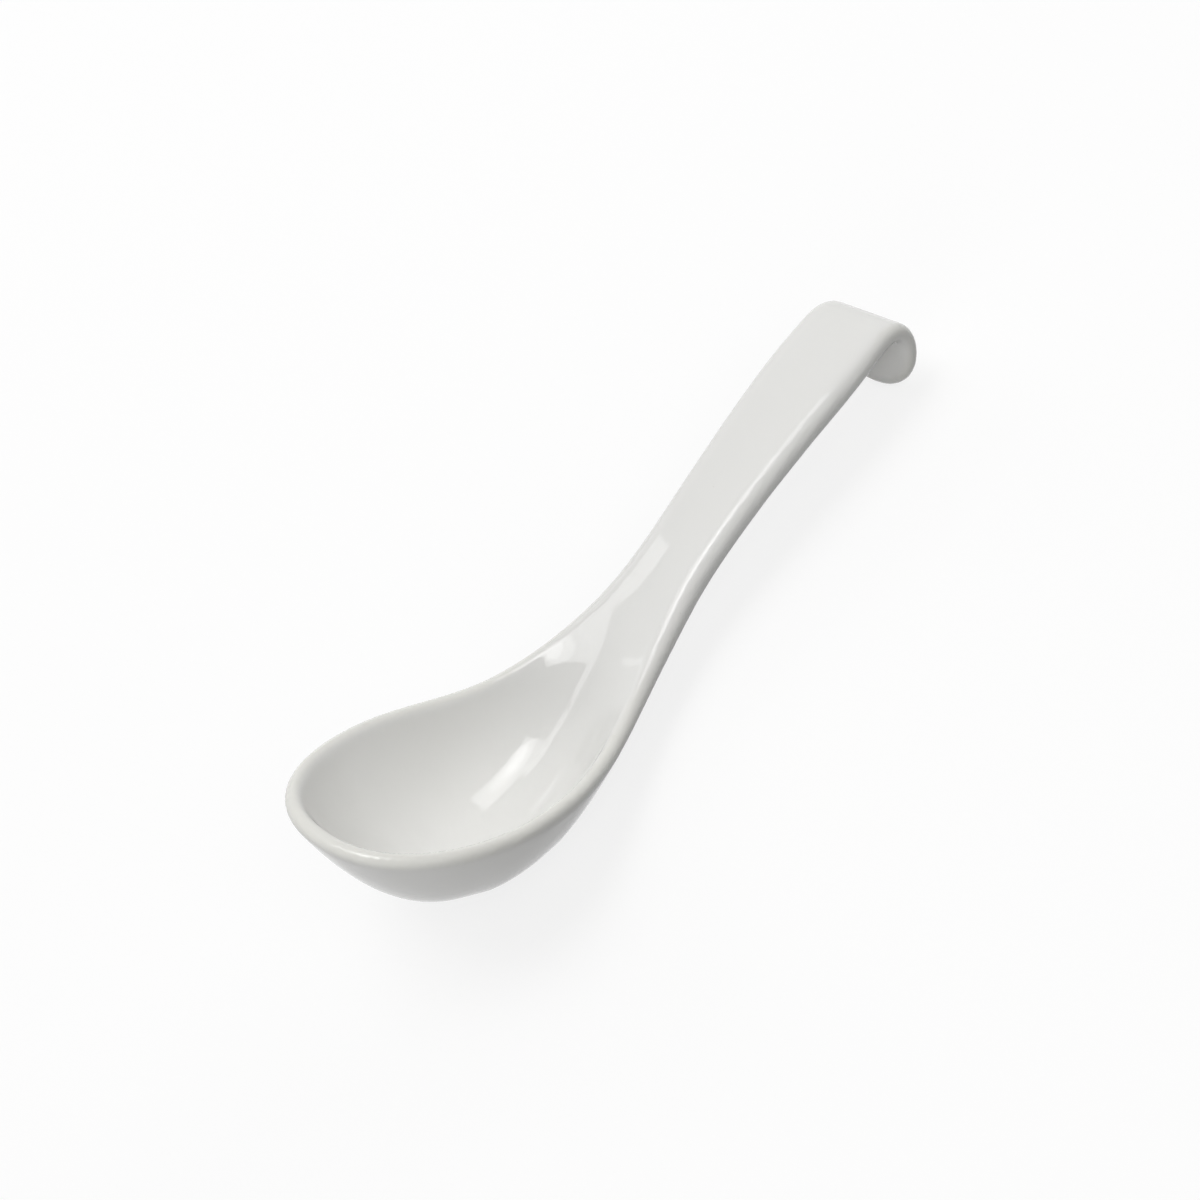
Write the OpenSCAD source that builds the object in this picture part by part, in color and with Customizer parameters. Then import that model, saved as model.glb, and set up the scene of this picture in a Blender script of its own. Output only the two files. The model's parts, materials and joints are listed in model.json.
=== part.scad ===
/* [Bowl] */
// Width of the bowl over its rim
bowl_w = 53.9; // [46:0.1:62]
// Distance along the rim from the bowl's front to its widest place
bowl_widest = 31.3; // [26:0.1:36]
// Depth of the bowl below the top of its rim
bowl_depth = 22.7; // [16:0.1:26]
// Fullness of the bowl's front in plan, where 2 is an ellipse
front_fullness = 2.25; // [2:0.05:2.6]
// Place along the rim where the floor starts to rise to the handle
floor_l = 24.3; // [20:0.1:32]
// Place along the rim where the trough of the neck has run out
trough_end = 91.7; // [86:0.1:106]
// Quickness of the floor's rise to the handle
floor_rise = 1.37; // [0.8:0.01:1.6]
// Length of the trough's tail, where 1 is short
trough_tail = 1.88; // [1:0.01:2.5]
// Flatness of the floor across the front, where 2 is a parabola
front_flatness = 2.2; // [1.8:0.05:2.8]
// Flatness of the floor across the middle of the bowl
floor_flatness = 3; // [2:0.05:3.4]
// Flatness of the trough across the neck
neck_flatness = 1.5; // [1.4:0.05:2.6]
// Place along the rim where the straight sides of the neck begin
sides_from = 51.4; // [45:0.1:58]
// Place along the rim where the straight sides are full
sides_to = 81.2; // [72:0.1:90]
// How far the neck's section follows a flat floor with straight sides
sides_share = 0.67; // [0:0.01:0.9]
// Half width of that flat floor, as a share of the way to the rim
flat_share = 0.13; // [0:0.01:0.4]
// Roundness of the corner between that floor and a side
corner_share = 0.17; // [0.08:0.01:0.6]

/* [Handle] */
// Length of the whole spoon along its rim, bowl front to hook tip
spoon_l = 186.6; // [170:0.1:200]
// Width at the waist, the narrowest place of the handle
waist_w = 19.2; // [15:0.1:24]
// Distance along the rim from the bowl's front to the waist
waist_at = 104.7; // [98:0.1:112]
// Width of the flared end of the handle
end_w = 21.7; // [18:0.1:27]
// Distance along the rim from the bowl's front to the full flare
flare_at = 163.5; // [150:0.5:168]
// Quickness of the narrowing from the bowl to the waist
taper = 0.87; // [0.8:0.01:1.2]
// Length of the rounding at the hook's tip
tip_l = 8.5; // [6:0.1:11]
// Squareness of the hook's tip, where 2 is an ellipse
tip_squareness = 2.25; // [2:0.05:3]

/* [Side view] */
// Slope of the rim at the bowl's front
front_slope = -0.8; // [-5:0.1:3]
// Slope of the rim in the middle of the bowl
bowl_slope = 0; // [-4:0.1:4]
// Slope of the lower handle
handle_slope = 41.5; // [34:0.1:48]
// Slope of the upper handle
upper_slope = 33.4; // [26:0.1:40]
// Slope of the hook's tongue
hook_slope = -81.5; // [-95:0.5:-65]
// Place along the rim where the rim starts to climb
climb_from = 37.4; // [32:0.1:42]
// Place along the rim where the climb is done
climb_to = 98; // [92:0.5:108]
// Place along the rim where the handle starts to ease off
ease_from = 94; // [88:0.5:110]
// Place along the rim where the hook's bend starts
bend_from = 163; // [158:0.5:168]
// Length of the hook's bend
bend_l = 17.2; // [12:0.1:20]
// Extra slope in the neck
neck_lift = 7.5; // [0:0.5:12]

/* [Wall] */
// Thickness of the bowl's wall with its glaze
bowl_wall = 3.3; // [2.6:0.1:4.5]
// Thickness of the handle with its glaze
handle_wall = 5.7; // [4.5:0.1:7]
// Thickness of the hook's tongue with its glaze
hook_wall = 4.1; // [3.4:0.1:5.5]
// Depth of the hollow along the lower handle
handle_hollow = 0.5; // [0:0.1:1]
// Thickness of the glaze
glaze_t = 0.3; // [0.2:0.05:0.5]

/* [Foot] */
// Length of the bare foot under the bowl
foot_l = 22; // [14:0.5:26]
// Width of the bare foot
foot_w = 13; // [8:0.5:16]
// How far the foot stands out below the glaze
foot_out = 0.4; // [0.2:0.05:0.8]
// Bare margin between the foot and the edge of the glaze
foot_margin = 0.8; // [0.5:0.1:1.5]

/* [Fineness] */
// Stations round the bowl's front
front_steps = 12; // [8:1:16]
// Stations from the foot to the hook
handle_steps = 28; // [20:1:34]
// Rings from the middle to the rim
rings = 8; // [6:1:9]
// Facets round the rim's edge
edge_steps = 6; // [4:2:8]

/* [Hidden] */

// The spoon is a flat outline bent along its rim and pressed down into a trough. A place on it is
// given by s, the distance along the rim from the bowl's front, and y, the distance to the side.
bowl_half = (bowl_w - bowl_wall) / 2;
waist_half = (waist_w - handle_wall) / 2;
end_half = (end_w - hook_wall) / 2;
core_from = bowl_widest;
core_to = spoon_l - tip_l;
neck_share = 0.125;
neck_length_share = 0.33;
thick_share = 0.29;
tongue_share = 0.73;
level_share = 0.43;
across_share = 0.74;
blend_share = 0.4;
climb = climb_to - climb_from;
neck_from = climb_from + climb * neck_share;
neck_l = climb * neck_length_share;
thick_from = climb_from + climb * thick_share;
tongue_from = bend_from - bend_l * tongue_share;
tongue_to = bend_from + bend_l * tongue_share;
level_from = waist_at + (flare_at - waist_at) * level_share;
across_from = climb_from + climb * neck_share;
across_l = climb * across_share;
front_blend = bowl_widest * blend_share;
spine_steps = 360;
run = bowl_wall;
ds = (spoon_l + run + run) / spine_steps;

function clip(x) = min(max(x, 0), 1);
function ease(x) = clip(x) * clip(x) * (3 - 2 * clip(x));
function between(s, from, to) = ease((s - from) / (to - from));

// Slope of the rim at s
function slope(s) =
    front_slope
    + (bowl_slope - front_slope) * between(s, 0, climb_from)
    + (handle_slope - bowl_slope) * between(s, climb_from, climb_to)
    + (upper_slope - handle_slope) * between(s, ease_from, bend_from)
    + neck_lift * (ease((s - neck_from) / neck_l) - ease((s - neck_from - neck_l) / neck_l))
    + (hook_slope - upper_slope) * ease((s - bend_from) / bend_l);

// The rim line in the side view, as tables of x and z at even steps of s
function s_at(i) = i * ds - run;
function cos_mean(i) = (cos(slope(s_at(i))) + cos(slope(s_at(i + 1)))) / 2;
function sin_mean(i) = (sin(slope(s_at(i))) + sin(slope(s_at(i + 1)))) / 2;
line_x = [for (i = 0, x = 0; i <= spine_steps; x = x + ds * cos_mean(i), i = i + 1) x];
line_z = [for (i = 0, z = 0; i <= spine_steps; z = z + ds * sin_mean(i), i = i + 1) z];
function step_of(s) = max(min(floor((s + run) / ds), spine_steps - 1), 0);
function along(t, s, i) = t[i] + (t[i + 1] - t[i]) * ((s + run) / ds - i);

// A place beside the rim line: y to the side and n upwards, square to the line
function place(s, y, n) =
    let (i = step_of(s), a = slope(s))
    [along(line_x, s, i) - n * sin(a), y, along(line_z, s, i) + n * cos(a)];

// Half the width of the outline at s
function front_half(s) =
    bowl_half * pow(1 - pow(clip((core_from - s) / core_from), front_fullness), 1 / front_fullness);
function side_half(s) =
    bowl_half
    + (waist_half - bowl_half) * ease(pow(clip((s - core_from) / (waist_at - core_from)), taper))
    + (end_half - waist_half) * between(s, waist_at, flare_at);
function tip_part(s) = pow(1 - pow(clip((s - core_to) / tip_l), tip_squareness), 1 / tip_squareness);
function half_w(s) = (s < core_from ? front_half(s) : side_half(s)) * tip_part(s);

// Depth of the middle of the trough below the rim, and how flat it is across
function hollow(s) = handle_hollow * (1 - between(s, level_from, flare_at));
function floor_part(s) =
    pow(1 - ease(pow(clip((s - floor_l) / (trough_end - floor_l)), floor_rise)), trough_tail);
function depth(s) = hollow(s) + (bowl_depth - hollow(s)) * floor_part(s);
function flatness(s) =
    front_flatness
    + (floor_flatness - front_flatness) * ease((s - core_from + front_blend) / (front_blend * 2))
    + (neck_flatness - floor_flatness) * ease((s - across_from) / across_l);

// Rise of the floor across, as a share of the depth. In the bowl it is a power of v. In the neck
// it is partly a flat floor with round corners and straight sides.
function corners(v) = norm([v - flat_share, corner_share]) + norm([v + flat_share, corner_share]);
function sides(v) = (corners(v) - corners(0)) / (corners(1) - corners(0));
function rise(s, v) =
    let (part = sides_share * between(s, sides_from, sides_to))
    pow(v, flatness(s)) * (1 - part) + sides(v) * part;

// Thickness with the glaze on both faces
function wall(s) =
    bowl_wall
    + (handle_wall - bowl_wall) * between(s, thick_from, waist_at)
    + (hook_wall - handle_wall) * between(s, tongue_from, tongue_to);

// The middle of the wall. Station q = [s, y] lies on the outline, and v runs from 0 at the core,
// the line along the middle, to 1 at the outline.
function core_s(q) = max(min(q[0], core_to), core_from);
function s_in(q, v) = core_s(q) + (q[0] - core_s(q)) * v;
function mid(q, v) = place(s_in(q, v), q[1] * v, -depth(s_in(q, v)) * (1 - rise(q[0], v)));

function unit(a) = a / norm(a);

// Upward direction of the trough's middle line at s
dip_share = 0.15;
dip = bowl_wall * dip_share;
function core_up(s) =
    let (a = slope(s), fall = (depth(s + dip) - depth(s - dip)) / (dip + dip))
    unit([-sin(a) + fall * cos(a), 0, cos(a) + fall * sin(a)]);
function belly(s) = place(s, 0, -depth(s)) - core_up(s) * wall(s) / 2;

// Lying on a table, the spoon touches it with its foot and with the hook's tip. Lean is the turn
// that brings both down to the table.
probe = dip / 2;
lean_most = 70;
lean_tries = 30;
belly_line = [for (s = [core_from : probe : trough_end]) belly(s)];
hook_mid = place(spoon_l, 0, 0);
function low(p, lean) = p[2] * cos(lean) - p[0] * sin(lean);
function far(p, lean) = p[0] * cos(lean) + p[2] * sin(lean);
function belly_low(lean) = min([for (p = belly_line) low(p, lean)]);
function gap(lean) = belly_low(lean) - foot_out - (low(hook_mid, lean) - wall(spoon_l) / 2);
function find_lean(lo, hi, n) =
    n == 0 ? (lo + hi) / 2
    : gap((lo + hi) / 2) < 0 ? find_lean((lo + hi) / 2, hi, n - 1)
    : find_lean(lo, (lo + hi) / 2, n - 1);
lean = find_lean(0, lean_most, lean_tries);
lowest = belly_low(lean);
low_at = [for (i = [0 : len(belly_line) - 1]) if (low(belly_line[i], lean) <= lowest) i][0];
foot_at = core_from + low_at * probe;
foot_x = far(belly_line[low_at], lean);
function lay(p) = [far(p, lean) - foot_x, p[1], low(p, lean) - lowest + foot_out];

// Opening of the glaze round the foot, as a share of the way from the core to the outline
stretch = norm(belly(foot_at + dip) - belly(foot_at - dip)) / (dip + dip);
hole_half_w = foot_w / 2 + foot_margin;
hole_straight = (foot_l - foot_w) / 2;
hole_reach = (hole_straight + hole_half_w) / stretch;
function hole_end(s) = max(abs(s - foot_at) * stretch - hole_straight, 0);
function hole_y(s) = sqrt(max(hole_half_w * hole_half_w - hole_end(s) * hole_end(s), 0));

// Stations along the rim from the bowl's front to the hook's tip
gap_steps = 2;
cap_steps = 4;
mid_steps = 2;
bend_steps = 9;
tip_steps = 6;
hole_from = foot_at - hole_reach;
hole_to = foot_at + hole_reach;
cap = hole_half_w / stretch;
flat_from = hole_from + cap;
flat_to = hole_to - cap;
stations = concat(
    [for (i = [0 : front_steps - 1]) core_from * (1 - cos(90 * i / front_steps))],
    [for (i = [0 : gap_steps - 1]) core_from + (hole_from - core_from) * i / gap_steps],
    [for (i = [0 : cap_steps - 1]) flat_from - cap * cos(90 * i / cap_steps)],
    [for (i = [0 : mid_steps - 1]) flat_from + (flat_to - flat_from) * i / mid_steps],
    [for (i = [0 : cap_steps - 1]) flat_to + cap * sin(90 * i / cap_steps)],
    [for (i = [0 : handle_steps - 1]) hole_to + (bend_from - hole_to) * i / handle_steps],
    [for (i = [0 : bend_steps - 1]) bend_from + (core_to - bend_from) * i / bend_steps],
    [for (i = [0 : tip_steps]) core_to + tip_l * sin(90 * i / tip_steps)]
);
last = len(stations) - 1;
first_core = front_steps;
last_core = last - tip_steps;
hole_first = front_steps + gap_steps;
hole_last = hole_first + cap_steps + mid_steps + cap_steps;

// The outline goes along one side and back along the other
columns = last * 2;
function station(j) = j <= last ? j : columns - j;
outline = [for (j = [0 : columns - 1])
    let (k = station(j), w = k == 0 || k == last ? 0 : half_w(stations[k]))
    [stations[k], j <= last ? w : -w]];
hole_share = [for (j = [0 : columns - 1])
    let (k = station(j), inside = k > hole_first && k < hole_last)
    inside ? hole_y(stations[k]) / half_w(stations[k]) : 0];

// Each face is a grid: rings from the core to the outline, and columns round the outline. The face
// below starts from the opening round the foot instead of from the core.
function ring_v(i, j, under) =
    let (v0 = under ? hole_share[j] : 0)
    v0 + (1 - v0) * sin(90 * i / rings);
function grid(under) =
    [for (i = [0 : rings]) [for (j = [0 : columns - 1]) mid(outline[j], ring_v(i, j, under))]];
near_share = 0.01;
function outward(i, j, under) =
    let (v = ring_v(i, j, under), a = max(v - near_share, near_share / rings), b = min(v + near_share, 1))
    unit(mid(outline[j], b) - mid(outline[j], a));
function beside(g, i, j) =
    let (row = g[max(i, 2)])
    row[(j + 1) % columns] - row[(j + columns - 1) % columns];
function up(g, i, j, under) =
    i == 0 && (!under || hole_share[j] == 0) ? core_up(core_s(outline[j]))
    : unit(cross(beside(g, i, j), outward(i, j, under)));
top_mid = grid(false);
low_mid = grid(true);
top_up = [for (i = [0 : rings]) [for (j = [0 : columns - 1]) up(top_mid, i, j, false)]];
low_up = [for (i = [0 : rings]) [for (j = [0 : columns - 1]) up(low_mid, i, j, true)]];
rim_out = [for (j = [0 : columns - 1]) outward(rings, j, false)];

// A closed skin that lies inset under the glazed surface: top face, round edge, and face below
function half_wall(i, j, under, inset) = wall(s_in(outline[j], ring_v(i, j, under))) / 2 - inset;
function skin(inset) = concat(
    [for (i = [0 : rings]) [for (j = [0 : columns - 1])
        lay(top_mid[i][j] + top_up[i][j] * half_wall(i, j, false, inset))]],
    [for (k = [1 : edge_steps - 1]) [for (j = [0 : columns - 1])
        let (a = 180 * k / edge_steps, h = half_wall(rings, j, false, inset))
        lay(top_mid[rings][j] + (top_up[rings][j] * cos(a) + rim_out[j] * sin(a)) * h)]],
    [for (i = [rings : -1 : 0]) [for (j = [0 : columns - 1])
        lay(low_mid[i][j] - low_up[i][j] * half_wall(i, j, true, inset))]]
);
rows = rings * 2 + edge_steps + 1;

function flat_list(g) = [for (row = g) for (p = row) p];

// Columns that meet in one place on the core share one point
function core_column(j) = max(min(station(j), last_core), first_core);
function own(r, j) =
    r == 0 ? core_column(j)
    : r == rows - 1 && hole_share[j] == 0 ? core_column(j)
    : j;
function point(r, j) = r * columns + own(r, j % columns);
function whole(f) = f[0] != f[1] && f[1] != f[2] && f[2] != f[0];
skin_faces = [for (r = [0 : rows - 2]) for (j = [0 : columns - 1])
    let (a = point(r, j), b = point(r, j + 1), c = point(r + 1, j + 1), d = point(r + 1, j))
    for (f = j < last ? [[a, c, b], [a, d, c]] : [[a, d, b], [b, d, c]])
    if (whole(f)) f];

// The rim of the opening round the foot, and the faces that close it
hole_loop = concat(
    [for (k = [hole_first : hole_last]) point(rows - 1, k)],
    [for (k = [hole_last - 1 : -1 : hole_first + 1]) point(rows - 1, columns - k)]
);
hole_count = len(hole_loop);
function across(k) = point(rows - 1, columns - k);
hole_faces = [for (k = [hole_first : hole_last - 1])
    let (a = point(rows - 1, k), b = point(rows - 1, k + 1), c = across(k + 1), d = across(k))
    for (f = [[a, c, b], [a, d, c]])
    if (whole(f)) f];
skin_size = rows * columns;
lip_faces = [for (i = [0 : hole_count - 1])
    let (a = hole_loop[i], b = hole_loop[(i + 1) % hole_count])
    for (f = [[a, b + skin_size, b], [a, a + skin_size, b + skin_size]])
    f];

foot_h = foot_out + glaze_t + bowl_wall / 2;

// The fired clay body, with the bare foot it stands on
module porcelain_body() {
    color([0.93, 0.92, 0.89])
    union() {
        polyhedron(points = flat_list(skin(glaze_t)), faces = concat(skin_faces, hole_faces), convexity = 8);
        foot();
    }
}

// The foot is a low block with round ends
module foot() {
    translate([-hole_straight, -foot_w / 2, 0])
        cube([hole_straight * 2, foot_w, foot_h]);
    for (side = [-1, 1])
        translate([side * hole_straight, 0, 0])
            cylinder(h = foot_h, d = foot_w, $fn = 64);
}

// The glaze, a glass skin over all of the clay but the foot
module glaze_coat() {
    color([0.88, 0.88, 0.86])
    polyhedron(
        points = concat(flat_list(skin(0)), flat_list(skin(glaze_t))),
        faces = concat(
            skin_faces,
            [for (f = skin_faces) [f[0] + skin_size, f[2] + skin_size, f[1] + skin_size]],
            lip_faces
        ),
        convexity = 8
    );
}

porcelain_body();
glaze_coat();
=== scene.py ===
# %% [markdown]
# # A white soup spoon with a hook on its handle
# The real spoon is one piece of fired clay under a coat of white, glassy glaze. Two things can be
# seen of it: the glaze, which covers nearly everything, and a small bare foot under the bowl, on
# which the spoon stood in the kiln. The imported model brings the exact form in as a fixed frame. This
# lesson turns its facets into a smooth glazed skin, makes the bare foot, and lights the two softly.

# %% The frame, and the size it sets
import bpy
import json
import math
from mathutils import Matrix, Vector

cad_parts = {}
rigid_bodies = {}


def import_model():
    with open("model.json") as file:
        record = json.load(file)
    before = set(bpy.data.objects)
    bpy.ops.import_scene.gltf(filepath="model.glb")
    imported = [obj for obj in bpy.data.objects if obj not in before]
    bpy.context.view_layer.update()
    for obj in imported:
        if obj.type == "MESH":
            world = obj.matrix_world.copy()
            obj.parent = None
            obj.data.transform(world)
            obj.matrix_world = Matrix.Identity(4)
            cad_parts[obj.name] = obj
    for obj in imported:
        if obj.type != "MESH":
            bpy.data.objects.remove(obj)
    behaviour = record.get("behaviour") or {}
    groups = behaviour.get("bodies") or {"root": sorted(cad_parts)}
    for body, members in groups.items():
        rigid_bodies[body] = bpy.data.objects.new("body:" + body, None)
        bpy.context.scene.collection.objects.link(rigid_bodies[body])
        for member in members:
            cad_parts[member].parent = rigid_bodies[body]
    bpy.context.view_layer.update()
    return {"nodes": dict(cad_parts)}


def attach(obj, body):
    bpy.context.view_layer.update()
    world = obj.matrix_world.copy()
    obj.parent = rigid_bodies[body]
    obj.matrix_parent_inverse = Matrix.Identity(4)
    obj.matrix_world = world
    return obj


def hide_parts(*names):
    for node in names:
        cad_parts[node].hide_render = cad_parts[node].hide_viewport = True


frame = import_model()
MM = 0.001
ops = bpy.ops

# %% [markdown]
# An operator acts on all that is selected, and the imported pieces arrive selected. So each step first
# clears the selection and picks the one piece that it works on. Its points, edges and faces could be
# picked by number, but a number means nothing once the mesh changes. So they are picked by place:
# each one is put to a test and marked in object mode, and then worked on in edit mode.

# %% Picking a piece, or some parts of it
def pick(piece, mode="OBJECT"):
    if bpy.context.object and bpy.context.object.mode != "OBJECT":
        ops.object.mode_set(mode="OBJECT")
    ops.object.select_all(action="DESELECT")
    piece.select_set(True)
    bpy.context.view_layer.objects.active = piece
    ops.object.mode_set(mode=mode)


def pick_parts(piece, kind, wanted):
    pick(piece, "EDIT")
    ops.mesh.select_mode(type=kind)
    ops.mesh.select_all(action="DESELECT")
    ops.object.mode_set(mode="OBJECT")
    mesh = piece.data
    parts = {"VERT": mesh.vertices, "EDGE": mesh.edges, "FACE": mesh.polygons}[kind]
    count = 0
    for part in parts:
        part.select = bool(wanted(part))
        count += part.select
    ops.object.mode_set(mode="EDIT")
    return count


def size_of(piece):
    lo = [min(v.co[i] for v in piece.data.vertices) for i in range(3)]
    hi = [max(v.co[i] for v in piece.data.vertices) for i in range(3)]
    return [round((b - a) / MM, 2) for a, b in zip(lo, hi)]


print("packed pieces:", sorted(frame["nodes"]))

# %% [markdown]
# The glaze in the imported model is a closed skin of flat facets, inside and outside, with an opening
# round the foot. Shiny glaze shows every facet, so it needs a finer mesh. One way is to model the
# spoon again from a plane; that would risk a second, slightly different form. Instead the packed
# skin is copied. Its loose triangles share no points, so they are merged first.

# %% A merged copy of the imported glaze
merge_gap = 0.001 * MM


def copy_of(node, name):
    pick(frame["nodes"][node])
    ops.object.duplicate()
    made = bpy.context.object
    made.name = name
    made.data.name = name
    made.parent = None
    for key in [k for k in made.keys() if k.startswith("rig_")]:
        del made[key]
    made.data.materials.clear()
    pick(made, "EDIT")
    ops.mesh.select_all(action="SELECT")
    ops.mesh.remove_doubles(threshold=merge_gap)
    ops.mesh.customdata_custom_splitnormals_clear()
    ops.object.mode_set(mode="OBJECT")
    return made


glaze_skin = copy_of("glaze_coat", "glaze_skin")
print("merged copy:", len(glaze_skin.data.vertices), "points,", size_of(glaze_skin), "mm")

# %% [markdown]
# The outer and the inner face of the skin hang together only at the lip of the opening, a ring of
# small upright faces round the foot. With the lip deleted, the outer face is all that is linked to
# the spoon's frontmost point, and the rest is deleted too. One face then closes the hole. Its shape
# doesn't matter, because that place is cut away again below. Pairs of triangles become four-sided
# faces, which subdivide more evenly.

# %% Only the outer face is kept, and its opening is closed
foot_l = 22 * MM
foot_w = 13 * MM
around_foot = Vector((foot_l / 2 + 3 * MM, foot_w / 2 + 2.5 * MM, 5 * MM))
upright_below = 0.6


def on_lip(face):
    place = face.center
    near = abs(place.x) < around_foot.x and abs(place.y) < around_foot.y and place.z < around_foot.z
    return near and abs(face.normal.z) < upright_below


lip = pick_parts(glaze_skin, "FACE", on_lip)
ops.mesh.delete(type="FACE")
ops.object.mode_set(mode="OBJECT")
front = min(glaze_skin.data.vertices, key=lambda point: point.co.x).index
pick_parts(glaze_skin, "VERT", lambda point: point.index == front)
ops.mesh.select_linked()
ops.mesh.select_all(action="INVERT")
ops.mesh.delete(type="VERT")
ops.mesh.select_mode(type="EDGE")
ops.mesh.select_all(action="DESELECT")
ops.mesh.select_non_manifold()
ops.mesh.edge_face_add()
ops.mesh.select_all(action="SELECT")
ops.mesh.tris_convert_to_quads(face_threshold=math.radians(60), shape_threshold=math.radians(120))
ops.object.mode_set(mode="OBJECT")
print("lip faces:", lip, " outer form:", len(glaze_skin.data.polygons), "faces,", size_of(glaze_skin), "mm")

# %% [markdown]
# Subdivision rounds the facets off, but where many of them meet in one point, at the bottom of the
# bowl, it leaves a star that would show in a reflection. A voxel remesh then lays even little
# squares over the whole form. Plain smoothing would settle them, but it eats into the thin rim. So
# each round of smoothing is followed by one of the opposite sign: small ripples go, the form stays.
# The little that the whole still loses is put back at the end.

# %% Even, smooth skin
def apply_modifier(piece, kind, **settings):
    pick(piece)
    ops.object.modifier_add(type=kind)
    modifier = piece.modifiers[-1]
    for name, value in settings.items():
        setattr(modifier, name, value)
    ops.object.modifier_apply(modifier=modifier.name)


def grow(piece, by):
    pick(piece, "EDIT")
    ops.mesh.select_all(action="SELECT")
    ops.transform.shrink_fatten(value=by)
    ops.object.mode_set(mode="OBJECT")


voxel = 0.7 * MM
smoothing_rounds = 14
lost = 0.1 * MM
apply_modifier(glaze_skin, "SUBSURF", levels=2, render_levels=2)
apply_modifier(glaze_skin, "REMESH", mode="VOXEL", voxel_size=voxel)
for _ in range(smoothing_rounds):
    apply_modifier(glaze_skin, "SMOOTH", factor=0.5, iterations=1)
    apply_modifier(glaze_skin, "SMOOTH", factor=-0.53, iterations=1)
grow(glaze_skin, lost)
ops.object.shade_smooth()
print("smooth form:", len(glaze_skin.data.polygons), "faces,", size_of(glaze_skin), "mm")

# %% [markdown]
# The clay has the same outer form under the glaze. So it starts as a copy of the smooth form, with a
# mesh of its own, before the glaze is cut.

# %% A second copy, for the clay
clay_body = glaze_skin.copy()
clay_body.data = glaze_skin.data.copy()
clay_body.name = clay_body.data.name = "clay_body"
bpy.context.collection.objects.link(clay_body)
print("the clay starts with", len(clay_body.data.polygons), "faces")

# %% [markdown]
# The opening in the glaze and the foot inside it have the same outline: straight sides and round
# ends. Two cylinders and a box could be joined for it. One cylinder is enough when its two halves
# are pulled apart along the spoon, because the faces between them stretch into the straight sides.
# The first such block is the cutter for the opening, a little larger than the foot.

# %% A block with straight sides and round ends
margin = 0.8 * MM
cut_low = -2 * MM
cut_high = 2.4 * MM
hair = 0.01 * MM


def round_ended_block(name, length, width, low, high):
    ops.object.mode_set(mode="OBJECT")
    ops.object.select_all(action="DESELECT")
    ops.mesh.primitive_cylinder_add(
        vertices=96, radius=width / 2, depth=high - low, location=(0, 0, (low + high) / 2))
    block = bpy.context.object
    block.name = name
    block.data.name = name
    pick(block)
    ops.object.transform_apply(location=True, rotation=True, scale=True)
    for side in (-1, 1):
        pick_parts(block, "VERT", lambda point: point.co.x * side > hair)
        ops.transform.translate(value=(side * (length - width) / 2, 0, 0))
    ops.object.mode_set(mode="OBJECT")
    return block


cutter = round_ended_block("cutter", foot_l + margin * 2, foot_w + margin * 2, cut_low, cut_high)
print("cutter:", size_of(cutter), "mm")

# %% [markdown]
# The glaze ends in a clean edge round the foot, because it was wiped off there before firing. It
# could be thickened first and cut afterwards, but a skin without thickness cuts more cleanly. So the
# block is cut out of the closed form, and the faces that this leaves inside are deleted. The skin
# then gets its thickness of 0.3 mm inwards, which makes the edge a real little step.

# %% The opening round the foot
glaze_t = 0.3 * MM
crease = math.radians(38)


def combine(piece, block, operation):
    apply_modifier(piece, "BOOLEAN", object=block, operation=operation, solver="EXACT")
    pick(block)
    ops.object.delete()


def inside_cut(face):
    past_straight = max(abs(face.center.x) - (foot_l - foot_w) / 2, 0)
    in_plan = math.hypot(past_straight, face.center.y) < foot_w / 2 + margin + hair
    return in_plan and face.center.z < cut_high + hair


combine(glaze_skin, cutter, "DIFFERENCE")
left_over = pick_parts(glaze_skin, "FACE", inside_cut)
ops.mesh.delete(type="FACE")
apply_modifier(glaze_skin, "SOLIDIFY", thickness=glaze_t, offset=-1)
pick(glaze_skin)
ops.object.shade_smooth_by_angle(angle=crease)
print("faces of the cut deleted:", left_over, " glaze skin:", len(glaze_skin.data.polygons), "faces")

# %% [markdown]
# The clay is 0.3 mm smaller all round than the glaze, and the foot is added to it as a low block.
# Laying even squares over the two again would melt them together, but squares of this size leave the
# foot's edge ragged. So the lower edge of the block is rounded first, as a wet sponge rounds it on a
# real foot, and then the two are united. The top of the block ends inside the wall.

# %% The clay body and its bare foot
foot_high = 2.8 * MM
foot_round = 0.25 * MM
grow(clay_body, -glaze_t)
foot = round_ended_block("foot_block", foot_l, foot_w, 0, foot_high)
pick_parts(foot, "EDGE", lambda edge: all(foot.data.vertices[i].co.z < hair for i in edge.vertices))
ops.mesh.bevel(offset=foot_round, segments=3)
combine(clay_body, foot, "UNION")
pick(clay_body)
ops.object.shade_smooth_by_angle(angle=crease)
print("clay body:", len(clay_body.data.polygons), "faces,", size_of(clay_body), "mm")

# %% [markdown]
# The camera stands where the photograph was taken from. Its place and its turns were found by
# fitting the spoon's outline and rim to the photograph. There the rim is about level. Here the spoon
# lies tipped back, as it rests on a table, so the camera is tipped with it, and that is its large
# roll. A constraint that tracks the spoon could aim it, but would leave out the roll. So its three
# axes are worked out and set directly. It looks along its own minus Z.

# %% The camera
eye = Vector((-75.06, -295.13, 356.23)) * MM
azimuth, elevation, roll = (math.radians(a) for a in (-20.807, 46.393, -34.874))
field_of_view = math.radians(29.92)
film = 36


def place_on_axes(thing, x_axis, y_axis, z_axis, place):
    rows = [(x_axis[i], y_axis[i], z_axis[i], place[i]) for i in range(3)]
    thing.matrix_world = Matrix(rows + [(0, 0, 0, 1)])


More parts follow.
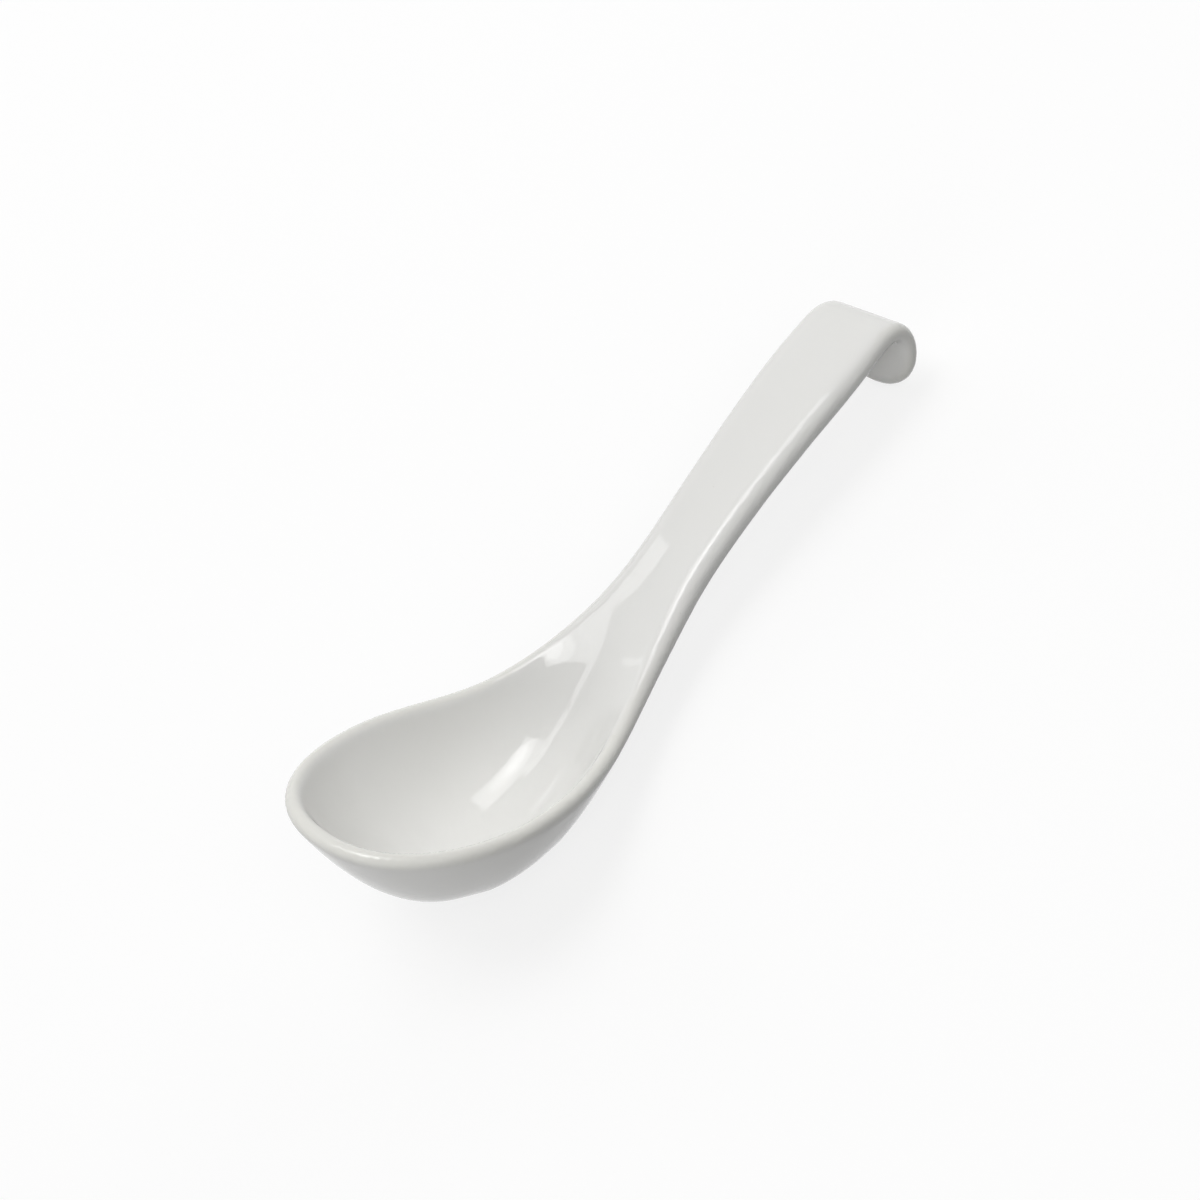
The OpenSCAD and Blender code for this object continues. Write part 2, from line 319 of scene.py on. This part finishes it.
back = Vector((math.sin(azimuth) * math.cos(elevation), -math.cos(azimuth) * math.cos(elevation),
               math.sin(elevation)))
level = Vector((math.cos(azimuth), math.sin(azimuth), 0))
upright = back.cross(level)
right = level * math.cos(roll) + upright * math.sin(roll)
ops.object.select_all(action="DESELECT")
ops.object.camera_add(location=eye)
camera = bpy.context.object
camera.name = "photo_view"
place_on_axes(camera, right, back.cross(right), back, eye)
camera.data.sensor_width = film
camera.data.lens = film / (2 * math.tan(field_of_view / 2))
camera.data.clip_start = 0.01
bpy.context.scene.camera = camera
print("lens:", round(camera.data.lens, 1), "mm, distance from the foot:", round(eye.length / MM), "mm")

# %% [markdown]
# A finish is a small net of nodes. So that it reads like plain sums, a wire is wrapped in a class
# whose plus, minus and times add a Math node each. Any other node comes from one method, which
# takes the node's kind, its settings, and what goes into its sockets. Every pattern is measured from
# the spoon's own origin in metres, so it stays with the spoon.

# %% Sums on wires, and a finish to hold them
class Wire:
    def __init__(self, finish, socket):
        self.finish = finish
        self.socket = socket

    def output(self, name):
        return Wire(self.finish, self.socket.node.outputs[name])

    def __add__(self, other):
        return self.finish.math("ADD", self, other)

    def __sub__(self, other):
        return self.finish.math("SUBTRACT", self, other)

    def __rsub__(self, other):
        return self.finish.math("SUBTRACT", other, self)

    def __mul__(self, other):
        return self.finish.math("MULTIPLY", self, other)

    def __gt__(self, other):
        return self.finish.math("GREATER_THAN", self, other)

    __radd__ = __add__
    __rmul__ = __mul__


class Finish:
    def __init__(self, material_name):
        self.material = bpy.data.materials.new(material_name)
        self.material.use_nodes = True
        self.tree = self.material.node_tree
        self.shader = self.tree.nodes["Principled BSDF"]
        self.place = self.node("TexCoord", output="Object")

    def feed(self, socket, value):
        if isinstance(value, Wire):
            self.tree.links.new(value.socket, socket)
        else:
            socket.default_value = value

    def node(self, kind, settings={}, sockets={}, output=0):
        made = self.tree.nodes.new("ShaderNode" + kind)
        for name, value in settings.items():
            setattr(made, name, value)
        for name, value in sockets.items():
            self.feed(made.inputs[name], value)
        return Wire(self, made.outputs[output])

    def math(self, operation, *numbers):
        return self.node("Math", dict(operation=operation), dict(enumerate(numbers)))

    def noise(self, per_metre, detail=2, seed=0):
        return self.node("TexNoise", dict(noise_dimensions="4D"), {
            "Vector": self.place, "W": seed, "Scale": per_metre, "Detail": detail})

    def cells(self, per_metre):
        return self.node("TexVoronoi", {}, {"Vector": self.place, "Scale": per_metre})

    def steps(self, value, low, high):
        return self.node("MapRange", dict(interpolation_type="SMOOTHSTEP"), {
            "Value": value, "From Min": low, "From Max": high})

    def blend(self, share, first, second):
        return self.node("Mix", dict(data_type="RGBA"), {0: share, 6: first, 7: second}, 2)

    def bumps(self, height, deep, strength=1.0):
        return self.node("Bump", {}, {"Strength": strength, "Distance": deep, "Height": height})

    def set(self, **sockets):
        for name, value in sockets.items():
            self.feed(self.shader.inputs[name.replace("_", " ")], value)

    def put_on(self, piece):
        piece.data.materials.append(self.material)
        print(self.material.name, "on", piece.name + ":", len(self.tree.nodes), "nodes")


# %% [markdown]
# On the rim the glaze runs thin. To find the rim, the mesh is measured: along an edge over a ridge,
# the normals spread apart, and over a hollow they draw together. Blender's own pointiness changes
# with the fineness of the mesh, so the spread is taken per millimetre here. The mean over a point's
# edges, evened out with its neighbours a few times, is kept on the mesh, where the finish reads it.

# %% How sharply each point of the glaze bends outwards
def bends(piece, rounds):
    mesh = piece.data
    ends = [edge.vertices[:] for edge in mesh.edges]
    value = [0.0] * len(mesh.vertices)
    count = [0] * len(mesh.vertices)
    for a, b in ends:
        first, second = mesh.vertices[a], mesh.vertices[b]
        step = second.co - first.co
        spread = (second.normal - first.normal).dot(step) / max(step.length_squared, 1e-12) * MM
        for i in (a, b):
            value[i] += spread
            count[i] += 1
    value = [v / max(n, 1) for v, n in zip(value, count)]
    for _ in range(rounds):
        total = [v * n for v, n in zip(value, count)]
        for a, b in ends:
            total[a] += value[b]
            total[b] += value[a]
        value = [t / max(n * 2, 1) for t, n in zip(total, count)]
    return value


bend = bends(glaze_skin, rounds=6)
glaze_skin.data.attributes.new("bend", "FLOAT", "POINT").data.foreach_set("value", bend)
in_order = sorted(bend)
print("bend per mm, at each tenth:", [round(in_order[int(len(in_order) * k / 10)], 3) for k in range(10)],
      round(in_order[-1], 3))

# %% [markdown]
# The glaze is a layer of white glass. A plain white with an even gloss would look like plastic,
# because real glaze is never dead flat. It flows before it sets and leaves long soft waves, its gloss
# changes a little from place to place, and now and then a bubble leaves a pinhole. Its white drifts
# slightly over the spoon, and on the rim the warmer clay shows through.

# %% The glaze
def glaze_finish():
    glaze = Finish("glaze")
    bend_here = glaze.node("Attribute", dict(attribute_name="bend"), output="Fac")
    thin = glaze.steps(bend_here + glaze.noise(160, seed=8) * 0.06, 0.16, 0.36)
    drift = glaze.noise(28, seed=3)
    milk = glaze.blend(drift, (0.80, 0.797, 0.772, 1), (0.83, 0.828, 0.808, 1))
    milk = glaze.blend(thin * 0.8, milk, (0.80, 0.795, 0.745, 1))
    cells = glaze.cells(260)
    chance = glaze.node("SeparateColor", {}, {0: cells.output("Color")})
    pinhole = (1 - glaze.steps(cells, 0.03, 0.07)) * (chance > 0.965)
    waves = glaze.noise(75, detail=1, seed=11) + glaze.noise(420, seed=5) * 0.06
    glaze.set(
        Base_Color=glaze.blend(pinhole * 0.35, milk, (0.45, 0.40, 0.33, 1)),
        Roughness=glaze.noise(55, seed=7) * 0.03 + 0.03 + pinhole * 0.3,
        IOR=1.5,
        Normal=glaze.bumps(waves - pinhole * 0.12, 0.22 * MM))
    return glaze


glaze_finish().put_on(glaze_skin)

# %% [markdown]
# Bare clay is matt and a little warm, with fine grain and small dark specks of iron. Along the edge
# of the glaze it is toasted in a thin tan line, as on any fired foot, and where the foot has rubbed
# on tables it is slightly grey. The toasted line could be painted. It is worked out instead from how
# far a place lies from the foot's middle line, so it follows the round-ended outline by itself.

# %% The bare clay
def clay_finish():
    clay = Finish("bare_clay")
    x = clay.node("SeparateXYZ", {}, {0: clay.place})
    y = x.output("Y")
    z = x.output("Z")
    past_straight = clay.math("MAXIMUM", clay.math("ABSOLUTE", x) - (foot_l - foot_w) / 2, 0.0)
    reach = clay.math("SQRT", past_straight * past_straight + y * y)
    ragged = clay.noise(900, seed=2) * (0.6 * MM)
    toast = clay.steps(reach + ragged, foot_w / 2 + margin * 0.4, foot_w / 2 + margin)
    rubbed = (1 - clay.steps(z, 0.02 * MM, 0.2 * MM)) * clay.noise(700, detail=3, seed=9)
    specks = 1 - clay.steps(clay.cells(1100), 0.08, 0.16)
    grain = clay.noise(2600, detail=4, seed=1)
    body = clay.blend(grain, (0.70, 0.66, 0.58, 1), (0.80, 0.765, 0.70, 1))
    body = clay.blend(rubbed * 0.45, body, (0.42, 0.40, 0.37, 1))
    body = clay.blend(toast * 0.6, body, (0.62, 0.44, 0.28, 1))
    clay.set(
        Base_Color=clay.blend(specks * 0.5, body, (0.36, 0.28, 0.2, 1)),
        Roughness=clay.noise(1300, seed=4) * 0.15 + 0.75,
        IOR=1.5,
        Normal=clay.bumps(grain, 0.12 * MM, strength=0.8))
    return clay


clay_finish().put_on(clay_body)

# %% [markdown]
# The spoon is shown on a plain white sweep under soft light. The floor looks white to the camera and
# to the glaze, but it lights the spoon from below only as much as dark grey card does, because more
# would wash out the shade under the bowl. Near the spoon it keeps a fifth of its own shading, so the
# spoon's shadow stays. Far away it keeps none, so floor and surroundings meet without a line.

# %% The floor
ops.object.select_all(action="DESELECT")
ops.mesh.primitive_plane_add(size=6, location=(0, 0, 0))
floor = bpy.context.object
floor.name = "floor"
white = (1, 1, 1, 1)
grey_card = (0.14, 0.14, 0.14, 1)
sweep = Finish("white_sweep")
seen = sweep.node("LightPath", output="Is Camera Ray")
shown = seen + seen.output("Is Glossy Ray") + seen.output("Is Transmission Ray")
sweep.set(Base_Color=sweep.blend(shown, grey_card, white), Roughness=0.9, Specular_IOR_Level=0)
glow = sweep.node("Emission", {}, {"Color": white, "Strength": 1.0})
distance = sweep.node("VectorMath", dict(operation="LENGTH"), {0: sweep.place}, "Value")
own_shading = (1 - sweep.steps(distance, 0.3, 0.9)) * 0.2
mixed = sweep.node("MixShader", {}, {
    0: shown * (1 - own_shading), 1: Wire(sweep, sweep.shader.outputs[0]), 2: glow})
sweep.feed(sweep.tree.nodes["Material Output"].inputs["Surface"], mixed)
sweep.put_on(floor)

# %% [markdown]
# The surroundings could light the spoon by themselves, but light from all round is flat. So they
# are white where the camera or the glaze looks at them, and only a faint light on the spoon.

# %% The surroundings
world = bpy.data.worlds.new("studio")
world.use_nodes = True
bpy.context.scene.world = world
air = world.node_tree
sky = air.nodes["Background"]
sky.inputs["Color"].default_value = white
path = air.nodes.new("ShaderNodeLightPath")
level_by_ray = air.nodes.new("ShaderNodeMapRange")
level_by_ray.inputs["To Min"].default_value = 1.0
level_by_ray.inputs["To Max"].default_value = 0.08
air.links.new(path.outputs["Is Diffuse Ray"], level_by_ray.inputs["Value"])
air.links.new(level_by_ray.outputs["Result"], sky.inputs["Strength"])
print("surroundings:", len(air.nodes), "nodes")

# %% [markdown]
# A soft box is a bright panel, in Blender an area lamp. In glaze each panel is seen as a reflection
# of its own shape. The key hangs overhead. Its core and its glow lie just below it and make the
# middle of its reflection hotter, as the cloth of a real soft box is brightest in front of the bulb.
# A thin band behind the key draws its reflection out into a tail, and a small panel low behind the
# spoon gives a short glint. The fills only lighten what the key leaves dark: they are hidden from
# mirror rays, so the glaze doesn't show them. Each lamp turns its minus Z to the middle of the spoon.

# %% Soft boxes
spoon_middle = Vector((0.03, 0, 0.02))


def soft_box(name, towards, across, long_side, short_side, power, mirrored=True, shape="RECTANGLE",
             away=1.2):
    towards = Vector(towards).normalized()
    across = Vector(across)
    across = (across - towards * across.dot(towards)).normalized()
    ops.object.select_all(action="DESELECT")
    ops.object.light_add(type="AREA")
    lamp = bpy.context.object
    lamp.name = name
    lamp.data.shape = shape
    lamp.data.size = long_side
    lamp.data.size_y = short_side
    lamp.data.energy = power
    lamp.visible_glossy = mirrored
    place_on_axes(lamp, across, towards.cross(across), towards, spoon_middle + towards * away)
    print(name + ":", power, "W,", long_side, "by", short_side, "m")


soft_box("key", (0.04, 0.18, 1), (1, 0, 0), 0.80, 0.64, 3.9)
soft_box("key_core", (-0.05, 0.12, 1), (1, 0.5, 0), 0.42, 0.26, 0.6, shape="ELLIPSE", away=1.16)
soft_box("key_glow", (-0.02, 0.14, 1), (1, 0.3, 0), 0.64, 0.48, 1.3, shape="ELLIPSE", away=1.18)
soft_box("key_band", (-0.22, 0.54, 1), (1, 0, 0), 0.62, 0.15, 0.65)
soft_box("glint", (0.12, 1.4, 1), (1, 0, 0), 0.31, 0.08, 0.1)
soft_box("fill_front", (0, -0.9, 1), (1, 0, 0), 0.7, 0.7, 3.1, mirrored=False)
soft_box("fill_back", (0.9, 0.9, 1), (1, 0, 0), 0.7, 0.7, 1.8, mirrored=False)
soft_box("fill_back_low", (0, 2.5, 1), (1, 0, 0), 0.8, 0.8, 3.0, mirrored=False)
soft_box("fill_right_low", (3, 0, 1), (0, 1, 0), 0.8, 0.8, 3.6, mirrored=False)
soft_box("fill_left_low", (-7, -3, 1), (0, 1, 0), 0.8, 0.8, 6.6, mirrored=False)

# %% [markdown]
# The spoon is one rigid body. Each dressed piece rides on it and stands for one imported piece, which
# is hidden.

# %% The bodies
for piece, node in ((glaze_skin, "glaze_coat"), (clay_body, "porcelain_body")):
    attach(piece, "root")
    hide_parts(node)
bpy.context.scene.view_settings.view_transform = "Standard"
